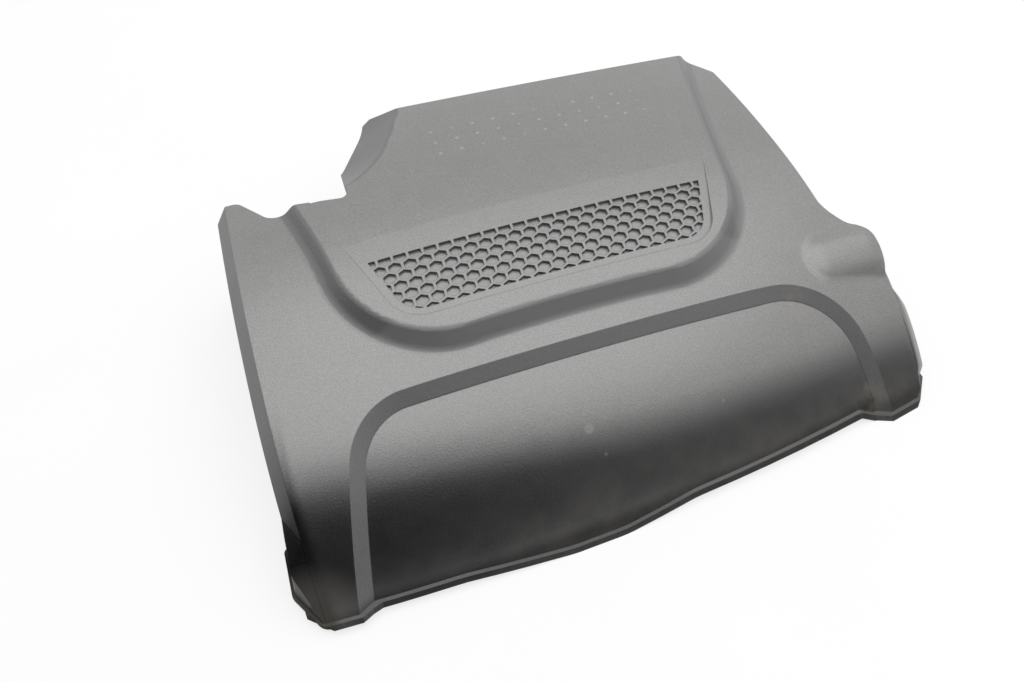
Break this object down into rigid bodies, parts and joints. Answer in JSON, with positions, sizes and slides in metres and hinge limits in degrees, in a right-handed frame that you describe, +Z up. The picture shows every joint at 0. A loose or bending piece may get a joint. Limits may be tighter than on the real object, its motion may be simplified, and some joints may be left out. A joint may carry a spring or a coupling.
{
  "type": "engine cover",
  "caption": "Moulded black plastic engine cover: crowned shell with a raised centre, sunken front panel, honeycomb grille field, scooped rear corner and open underside with push-on sockets.",
  "frame": {"origin": "middle of the bounding box in plan, at the lowest point of the rim", "axes": "+Z up, -Y towards the front apron, +X towards the side with the hump"},
  "size_m": [0.5378, 0.4301, 0.1324],
  "materials": {
    "cover_plastic": "fine-grained matte black moulding, dusty and slightly scuffed"
  },
  "bodies": {
    "root": {"engine_cover": "cover_plastic"}
  },
  "joints": []
}
